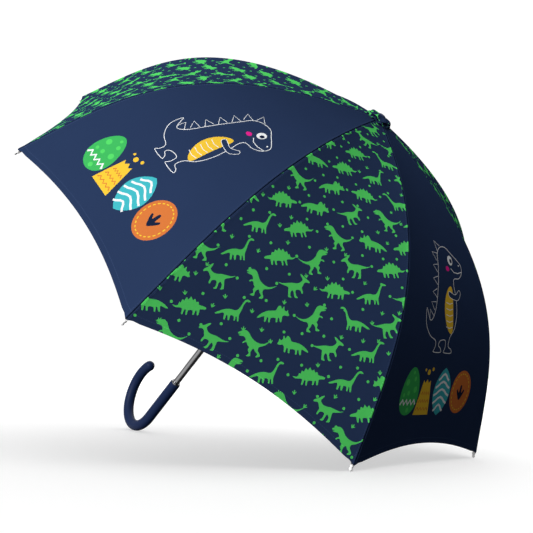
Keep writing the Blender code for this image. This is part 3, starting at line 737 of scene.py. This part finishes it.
def triangulated(motifs):
    """(points, triangles, colour of each) of a gore with its print, in flat coordinates."""
    outline = gore_outline()
    points, edges = [], []

    def add_line(line, closed):
        first = len(points)
        points.extend(line)
        count = len(line)
        edges.extend((first + i, first + (i + 1) % count) for i in range(count if closed else count - 1))

    add_line(outline, True)
    for line in guide_lines():
        add_line(line, False)
    for _, motif in motifs:
        add_line(motif, True)
    points.extend(grid_points())
    verts, _, faces, _, _, _ = geometry.delaunay_2d_cdt([Vector(p) for p in points], edges, [], 0, 1e-6)
    flat = np.array([tuple(v) for v in verts])
    faces = np.array(faces)
    centres = flat[faces].mean(axis=1)
    kept = inside(centres, outline)
    faces, centres = faces[kept], centres[kept]
    colours = np.full(len(faces), CLOTH_ORDER.index("navy"))
    for colour, motif in motifs:
        shape = np.array(motif)
        low, high = shape.min(axis=0), shape.max(axis=0)
        near = np.flatnonzero(((centres > low) & (centres < high)).all(axis=1))
        if len(near):
            colours[near[inside(centres[near], motif)]] = CLOTH_ORDER.index(colour)
    return flat, faces, colours


def shell_mesh(name, top, bottom, faces):
    """Two layers of the same faces, the lower one turned over, joined by a rim."""
    sides = dict.fromkeys(pair for face in faces for pair in zip(face, face[1:] + face[:1]))
    rim = [(b, a) for a, b in sides if (b, a) not in sides]
    count = len(top)
    polygons = faces + [tuple(v + count for v in reversed(face)) for face in faces]
    polygons += [(a, b, b + count, a + count) for a, b in rim]
    mesh = bpy.data.meshes.new(name)
    mesh.from_pydata([tuple(point) for point in top + bottom], [], polygons)
    return mesh


def mark_cloth(mesh, where, seams, hems):
    """Flat coordinates for the weave, and each point's distance from the seam and from the hem."""
    corners = np.empty(len(mesh.loops), np.int32)
    mesh.loops.foreach_get("vertex_index", corners)
    layer = mesh.uv_layers.new(name="cloth")
    layer.data.foreach_set("uv", np.array(where)[corners].astype(np.float32).ravel())
    for label, values in (("seam", seams), ("hem", hems)):
        attribute = mesh.attributes.new(label, "FLOAT", "POINT")
        attribute.data.foreach_set("value", np.array(values, np.float32))


def strip_mesh(name, flat, faces, colours, number):
    """A closed thin mesh of these triangles on the gore's surface, in world coordinates."""
    used, index = np.unique(faces, return_inverse=True)
    faces, where = index.reshape(-1, 3), flat[used]
    corners = where[faces]
    turned = np.cross(corners[:, 1] - corners[:, 0], corners[:, 2] - corners[:, 0]) < 0
    # Down runs away from the crown, so triangles that turn clockwise on the flat face outwards.
    faces = np.where(turned[:, None], faces, faces[:, ::-1])
    matrix = gore_matrix(number)
    turn = matrix.to_3x3()
    top = [matrix @ cloth_point(across, down, number) for across, down in where]
    normals = [turn @ cloth_normal(across, down, number) for across, down in where]
    bottom = [p - n * CLOTH_THICKNESS for p, n in zip(top, normals)]
    mesh = shell_mesh(name, top, bottom, [tuple(face) for face in faces.tolist()])
    for cloth in CLOTHS.values():
        mesh.materials.append(cloth)
    rims = len(mesh.polygons) - 2 * len(faces)
    printed = (colours == CLOTH_ORDER.index("green")) & (number % 2 == 0)
    under = np.where(printed, CLOTH_ORDER.index("faded"), CLOTH_ORDER.index("lining"))
    materials = [*colours, *under, *[CLOTH_ORDER.index("navy")] * rims]
    mesh.polygons.foreach_set("material_index", np.array(materials, np.int32))
    mesh.polygons.foreach_set("use_smooth", [True] * (2 * len(faces)) + [False] * rims)
    double = np.concatenate([where, where])
    seams = [half_width(d) - abs(a) for a, d in double]
    hems = [hem_down(min(1.0, max(-1.0, a / half_width(d)))) - d for a, d in double]
    mark_cloth(mesh, double, seams, hems)
    mesh.validate()
    mesh.normals_split_custom_set_from_vertices([tuple(n) for n in normals] + [tuple(-n) for n in normals])
    return mesh


def closed_point(share):
    """Where the middle of a gore comes to when the umbrella is closed, in the gore's own plane."""
    local = gore_matrix(1).inverted()
    angles = {name: math.radians(sum(JOINTS[name]["range_deg"])) for name in ("panel_1_fold", "panel_1_flex")}
    point = taut_point(0.0, down_of(share))
    for name in ("panel_1_flex", "panel_1_fold"):
        if name == "panel_1_flex" and share <= JOINT_SHARE:
            continue
        pivot = local @ Vector(JOINTS[name]["pos_m"])
        point = pivot + Matrix.Rotation(angles[name], 3, "Y") @ (point - pivot)
    return point


def kept_width(start, end):
    """The share of its width that a strip would have to keep when closed for the eight strips to meet round
    the frame.
    """
    found = []
    for i in range(7):
        share = start + (end - start) * i / 6
        found.append(closed_point(share).x * math.tan(HALF_GORE) / half_width(down_of(share)))
    return min(1.0, sum(found) / len(found) * 0.5 + max(found) * 0.5)


def add_object(name, data):
    obj = bpy.data.objects.new(name, data)
    bpy.context.scene.collection.objects.link(obj)
    return obj


def mesh_from(bm, name):
    mesh = bpy.data.meshes.new(name)
    bm.to_mesh(mesh)
    bm.free()
    return mesh


def build_gore(number):
    plain = number % 2 == 1
    motifs = badge_print() if plain else scattered_print()
    flat, faces, colours = triangulated(motifs)
    centres = flat[faces].mean(axis=1)[:, 1]
    for part, shares in (("upper", UPPER_STRIPS), ("lower", LOWER_STRIPS)):
        for i, (start, end) in enumerate(zip(shares, shares[1:])):
            low, high = down_of(start), down_of(end) if end < 1 else 1.0
            chosen = (centres >= low) & (centres < high)
            name = f"gore_{number}_{part}_{i + 1}"
            mesh = strip_mesh(name, flat, faces[chosen], colours[chosen], number)
            piece = add_object(name, mesh)
            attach(piece, f"panel_{number}_{part}")
            if i == 0:
                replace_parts(piece, f"panel_{number}_{part}")
            kept_width(start, end)
            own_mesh(piece)


for gore in range(1, RIBS + 1):
    build_gore(gore)


# Crown, handle, tips and strap


def add_piece(name, mesh, body, *materials, slot=None):
    """A piece of the umbrella that moves with a body."""
    for material in materials:
        mesh.materials.append(material)
    piece = add_object(name, mesh)
    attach(piece, body)
    return piece


def ring_mesh(name, rings):
    """Skin over rings of points that all have the same count, with both ends capped."""
    bm = bmesh.new()
    rows = [[bm.verts.new(point) for point in ring] for ring in rings]
    for low, high in zip(rows, rows[1:]):
        for i in range(len(low)):
            j = (i + 1) % len(low)
            bm.faces.new((low[i], low[j], high[j], high[i]))
    bm.faces.new(rows[0])
    bm.faces.new(rows[-1])
    bmesh.ops.recalc_face_normals(bm, faces=bm.faces)
    mesh = mesh_from(bm, name)
    mesh.shade_smooth()
    mesh.set_sharp_from_angle(angle=math.radians(42))
    return mesh


def circle_of(centre, along, radius, steps):
    """A ring about a centre, square to a direction in the plane of the hook."""
    side = Vector((0, 1, 0))
    out = along.cross(side).normalized()
    angles = [2 * math.pi * i / steps for i in range(steps)]
    return [centre + (out * math.cos(a) + side * math.sin(a)) * radius for a in angles]


def handle_mesh():
    """The socket, the straight grip and the hook as one skin with rounded ends."""
    top, bend = -CROWN_TO_HANDLE, -CROWN_TO_HANDLE - HANDLE_STEM
    down = Vector((0, 0, -1))
    bore, floor = SHAFT_RADIUS + SHAFT_CLEARANCE, top - SOCKET_DEPTH
    socket = ((floor, 0.0005), (floor, bore), (top - 0.0002, bore), (top, bore + 0.0003))
    stations = [(Vector((0, 0, z)), down, radius) for z, radius in socket]
    for i in range(7):
        angle = math.pi / 2 * i / 6
        centre = Vector((0, 0, top - HANDLE_EDGE * (1 - math.cos(angle))))
        stations.append((centre, down, HANDLE_RADIUS - HANDLE_EDGE * (1 - math.sin(angle))))
    straight = bend - top + HANDLE_EDGE
    for i in range(1, 13):
        stations.append((Vector((0, 0, top - HANDLE_EDGE + straight * i / 12)), down, HANDLE_RADIUS))
    steps = 64
    for i in range(1, steps + 1):
        angle = HOOK_TURN * i / steps
        centre = Vector((HOOK_RADIUS * (1 - math.cos(angle)), 0, bend - HOOK_RADIUS * math.sin(angle)))
        stations.append((centre, Vector((math.sin(angle), 0, -math.cos(angle))), HANDLE_RADIUS))
    end, along, _ = stations[-1]
    for i in range(1, 10):
        angle = math.pi / 2 * i / 9.3  # stops just short of a point
        centre = end + along * HANDLE_RADIUS * math.sin(angle)
        stations.append((centre, along, HANDLE_RADIUS * math.cos(angle)))
    mesh = ring_mesh("handle_grip", [circle_of(*station, 40) for station in stations])
    mesh.transform(UMBRELLA @ Matrix.Rotation(azimuth_of(HOOK_RIB), 4, "Z"))
    return mesh


def turned_ring(radius, z, steps=24):
    angles = [2 * math.pi * i / steps for i in range(steps)]
    return [Vector((radius * math.cos(a), radius * math.sin(a), z)) for a in angles]


def tip_mesh(number):
    """A slim cap with a ball end on the rib, pointing along the rib's last stretch."""
    ball = TIP_LENGTH - TIP_BALL
    profile = [(POLE, TIP_LENGTH)]
    for degrees in range(12, 132, 12):
        angle = math.radians(degrees)
        profile.append((TIP_BALL * math.sin(angle), ball + TIP_BALL * math.cos(angle)))
    profile += [(TIP_NECK, 0.0030), (TIP_NECK, 0.0026), (0.0019, 0.0018), (0.0021, 0.0012), (0.0021, 0.0)]
    profile.append((POLE, 0.0))
    mesh = ring_mesh(f"rib_cap_{number}", [turned_ring(r, z) for r, z in profile])
    before, end = between(SHARES, RIB_LINE, 0.998), between(SHARES, RIB_LINE, 1.0)
    slope = end - before
    normal = Vector((-slope.y, slope.x)).normalized()
    foot = end - normal * RIB_DEPTH
    aim = Matrix.Rotation(math.atan2(slope.x, slope.y), 4, "Y")
    place = Matrix.Rotation(azimuth_of(number), 4, "Z") @ Matrix.Translation((foot.x, 0, foot.y)) @ aim
    mesh.transform(UMBRELLA @ place)
    return mesh


def sheet_from_grid(name, rows, flat, closed_round):
    """A thin closed sheet over a grid of points, with flat coordinates for the weave."""
    width = len(rows[0])
    bm = bmesh.new()
    grid = [[bm.verts.new(point) for point in row] for row in rows]
    for near, far in zip(grid, grid[1:]):
        for j in range(width if closed_round else width - 1):
            k = (j + 1) % width
            bm.faces.new((near[j], far[j], far[k], near[k]))
    bm.normal_update()
    middle = mesh_from(bm, name + "_middle")
    layers = [[v.co + v.normal * (side * CLOTH_THICKNESS / 2) for v in middle.vertices] for side in (1, -1)]
    shell = shell_mesh(name, *layers, [tuple(polygon.vertices) for polygon in middle.polygons])
    inner = np.full(len(shell.vertices), INNER_CLOTH)
    mark_cloth(shell, [corner for row in flat for corner in row] * 2, inner, inner)
    shell.shade_smooth()
    shell.set_sharp_from_angle(angle=math.radians(60))
    bpy.data.meshes.remove(middle)
    return shell


def ruffle(name, middle, inner, outer, puff, lift, waves, seed):
    """One gathered ring of the rosette: a strip folded lengthwise, waving more towards its fold."""
    rng = random.Random(seed)
    steps, rows = 220, 16
    phases = [rng.uniform(0, 2 * math.pi) for _ in range(4)]
    grid, flat = [], []
    for i in range(rows + 1):
        turn = math.pi * i / rows
        part = math.sin(turn)
        row, flat_row = [], []
        for j in range(steps):
            angle = 2 * math.pi * j / steps
            wobble = 1 + 0.04 * math.sin(3 * angle + phases[0]) + 0.03 * math.sin(5 * angle + phases[1])
            reach = outer * wobble
            radius = inner + (reach - inner) * part
            fold = math.sin(waves * angle + phases[2] + 0.8 * math.sin(2 * angle + phases[3]))
            height = middle + puff * math.cos(turn) * (0.4 + 0.6 * part) + lift * part * fold
            height -= ROSETTE_DROOP * (radius - inner)
            swirl = angle + 0.05 * part * math.sin(waves * angle + phases[1])
            row.append(UMBRELLA @ Vector((radius * math.cos(swirl), radius * math.sin(swirl), height)))
            flat_row.append((angle * outer * 1.6, turn * STRIP_WIDTH / math.pi))
        grid.append(row)
        flat.append(flat_row)
    mesh = sheet_from_grid(name, grid, flat, True)
    piece = add_piece(name, mesh, "shaft", ROSETTE_CLOTH, slot="canopy_print")
    return piece


def button_mesh():
    """The domed button over the hub."""
    profile = [(POLE, CAP_FOOT), (CAP_RADIUS - CAP_EDGE, CAP_FOOT), (CAP_RADIUS, CAP_FOOT + CAP_EDGE)]
    for i in range(1, 12):
        angle = math.pi / 2 * i / 12
        profile.append((CAP_RADIUS * math.cos(angle), CAP_FOOT + CAP_EDGE + CAP_DOME * math.sin(angle)))
    mesh = ring_mesh("crown_button", [turned_ring(radius, z, 40) for radius, z in profile])
    mesh.transform(UMBRELLA)
    return mesh


def strap_mesh():
    """The tie strap lies on the middle of its gore."""
    rows, columns = 48, 8
    grid, flat = [], []
    for i in range(rows + 1):
        down = down_of(STRAP_START + (STRAP_END - STRAP_START) * i / rows)
        row, flat_row = [], []
        for j in range(columns + 1):
            across = (j / columns - 0.5) * STRAP_WIDTH
            loose = math.sin(math.pi * i / rows) ** 2 * (1 + 0.3 * noise.noise((0, down * 30, 3)))
            lift = STRAP_LOW + STRAP_LOOSE * loose
            point = cloth_point(across, down, STRAP_PANEL) + taut_normal(down) * lift
            row.append(gore_matrix(STRAP_PANEL) @ point)
            flat_row.append((across, down))
        grid.append(row)
        flat.append(flat_row)
    return sheet_from_grid("strap", grid, flat, False)


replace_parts(add_piece("handle_grip", handle_mesh(), "shaft", NAVY_PLASTIC, slot="handle"), "handle")
for k in range(1, RIBS + 1):
    cap = add_piece(f"rib_cap_{k}", tip_mesh(k), f"rib_{k}_outer", WHITE_PLASTIC, slot="tip_plastic")
    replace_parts(cap, f"rib_tip_{k}")
lower_ruffle = ruffle("rosette_lower", middle=ROSETTE_LOW + 0.0018, inner=0.0044, outer=0.0172,
                      puff=0.0017, lift=0.0011, waves=8, seed=11)
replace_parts(lower_ruffle, "crown_rosette")
ruffle("rosette_upper", middle=ROSETTE_LOW + 0.0048, inner=0.0050, outer=0.0152,
       puff=0.0015, lift=0.0010, waves=7, seed=5)
button = add_piece("crown_button", button_mesh(), "shaft", NAVY_PLASTIC, slot="dark_plastic")
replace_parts(button, "crown_cap")
strap = add_piece("strap", strap_mesh(), "panel_5_lower", CLOTHS["navy"], slot="canopy_navy")
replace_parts(strap, "tie_strap")
strap_length = down_of(STRAP_END) - down_of(STRAP_START)


# Stage


def paint(names, material):
    for name in names:
        obj = frame["nodes"][name]
        obj.data.materials.clear()
        obj.data.materials.append(material)


steel_names = [n for n in frame["nodes"] if n.startswith(("rib_", "stretcher_")) and "tip" not in n]
steel_names += ["shaft_tube", "crown_wire", "runner_wire", "upper_catch", "lower_catch", "handle_ferrule"]
paint(steel_names, BRIGHT_STEEL)
paint(["crown_notch", "runner"], BLACK_PLASTIC)

# The camera stands in the umbrella's own frame: where it is, where it looks and which way is up.
CAMERA_PLACE = Vector((0.63152, -0.91221, 0.18898))
CAMERA_AIM = Vector((-0.53048, 0.76743, -0.36005))
CAMERA_UP = Vector((-0.66527, -0.11366, 0.73790))
LENS, SENSOR = 60.2, 36.0

# Lights: where each stands, its width and its power. The key lights the umbrella only.
KEY_PLACE, KEY_SIZE, KEY_POWER = (0.0, -2.25, 0.95), 1.5, 98
TOP_PLACE, TOP_SIZE, TOP_POWER = (0.0, 0.55, 2.3), 4.2, 64
SKY_BACK, SKY_REST = 1.05, 0.27
DARK_CORNER = Vector((0.45, 0.65, -0.60))
BELOW_LEFT, BELOW_RIGHT = 0.85, 0.03
FLOOR_ALBEDO, FLOOR_NEAR, FLOOR_FAR = 0.60, 0.50, 1.05
FLOOR_FADE = (0.6, 3.2)  # distances between which the floor brightens
STAGE_RADIUS, CLIP_END = 30, 100
LIGHTS_AIM = Vector((0, 0, 0.2))


def add_camera():
    camera = add_object("camera", bpy.data.cameras.new("camera"))
    camera.data.lens = LENS
    camera.data.sensor_width = SENSOR
    camera.data.clip_end = CLIP_END
    back = -CAMERA_AIM.normalized()
    right = CAMERA_UP.cross(back).normalized()
    local = Matrix((right, back.cross(right), back)).transposed().to_4x4()
    local.translation = CAMERA_PLACE
    camera.matrix_world = UMBRELLA @ local
    bpy.context.scene.camera = camera


def add_area(name, place, size, power):
    light = bpy.data.lights.new(name, "AREA")
    light.shape = "DISK"
    light.size = size
    light.energy = power
    obj = add_object(name, light)
    obj.location = place
    obj.rotation_euler = (LIGHTS_AIM - Vector(place)).to_track_quat("-Z", "Y").to_euler()
    return obj


def add_stage(mesh, material, *unseen_by):
    """A piece of the stage, hidden from these kinds of rays."""
    mesh.materials.append(material)
    piece = add_object(material.name, mesh)
    for ray in unseen_by:
        setattr(piece, f"visible_{ray}", False)


def add_floor():
    """A pale floor that is lit evenly enough to run into the background."""
    bm = bmesh.new()
    bmesh.ops.create_circle(bm, cap_ends=True, segments=96, radius=STAGE_RADIUS)
    material, tree, shader = new_material("floor", (FLOOR_ALBEDO,) * 3, 0.9, Specular_IOR_Level=0.1,
                                          Emission_Color=(1, 1, 1, 1))
    place = add_node(tree, "ShaderNodeTexCoord").outputs["Object"]
    length = add_node(tree, "ShaderNodeVectorMath", operation="LENGTH", Vector=place)
    glow = graded(tree, length.outputs["Value"], *FLOOR_FADE, FLOOR_NEAR, FLOOR_FAR)
    tree.links.new(glow, shader.inputs["Emission Strength"])
    add_stage(mesh_from(bm, "floor"), material, "diffuse", "glossy")


def add_backdrop():
    """A white dome round the floor, which hides the sky in low views. It still adds a trace of light."""
    bm = bmesh.new()
    bmesh.ops.create_uvsphere(bm, u_segments=48, v_segments=24, radius=STAGE_RADIUS)
    material = new_material("backdrop", (0, 0, 0), 1.0, Specular_IOR_Level=0.0,
                            Emission_Color=(1, 1, 1, 1), Emission_Strength=FLOOR_FAR)[0]
    add_stage(mesh_from(bm, "backdrop"), material, "diffuse", "glossy", "transmission", "shadow")


def graded(tree, value, start, end, low, high):
    """A value that runs smoothly from low to high as another runs from start to end."""
    spread = add_node(tree, "ShaderNodeMapRange", interpolation_type="SMOOTHSTEP", Value=value,
                      From_Min=start, From_Max=end, To_Min=low, To_Max=high)
    return spread.outputs["Result"]


def towards(tree, direction, aim):
    """How nearly a direction points along another."""
    facing = add_node(tree, "ShaderNodeVectorMath", operation="DOT_PRODUCT", Vector=direction)
    facing.inputs[1].default_value = aim
    return facing.outputs["Value"]


def add_world():
    """White behind the umbrella and soft grey elsewhere. Below, bright on the left and dark on the right."""
    world = bpy.data.worlds.new("studio_air")
    world.use_nodes = True
    tree = world.node_tree
    direction = add_node(tree, "ShaderNodeTexCoord").outputs["Generated"]
    behind = towards(tree, direction, UMBRELLA.to_3x3() @ CAMERA_AIM.normalized())
    above = graded(tree, behind, 0.55, 0.86, SKY_REST, SKY_BACK)
    corner = towards(tree, direction, DARK_CORNER.normalized())
    below = graded(tree, corner, -0.3, 0.5, BELOW_LEFT, BELOW_RIGHT)
    height = towards(tree, direction, Vector((0, 0, 1)))
    mix = add_node(tree, "ShaderNodeMix", Factor=graded(tree, height, -0.06, 0.0, 0, 1), A=below, B=above)
    background = tree.nodes["Background"]
    background.inputs["Color"].default_value = (1, 1, 1, 1)
    tree.links.new(mix.outputs["Result"], background.inputs["Strength"])
    bpy.context.scene.world = world
    bpy.context.scene.view_settings.view_transform = "Standard"


def light_umbrella_only(light):
    lit = bpy.data.collections.new("umbrella_lit")
    for obj in bpy.context.scene.objects:
        if obj.type == "MESH" and obj.name not in ("floor", "backdrop"):
            lit.objects.link(obj)
    light.light_linking.receiver_collection = lit


add_floor()
add_backdrop()
add_world()
light_umbrella_only(add_area("key", KEY_PLACE, KEY_SIZE, KEY_POWER))
add_area("top", TOP_PLACE, TOP_SIZE, TOP_POWER)
add_camera()
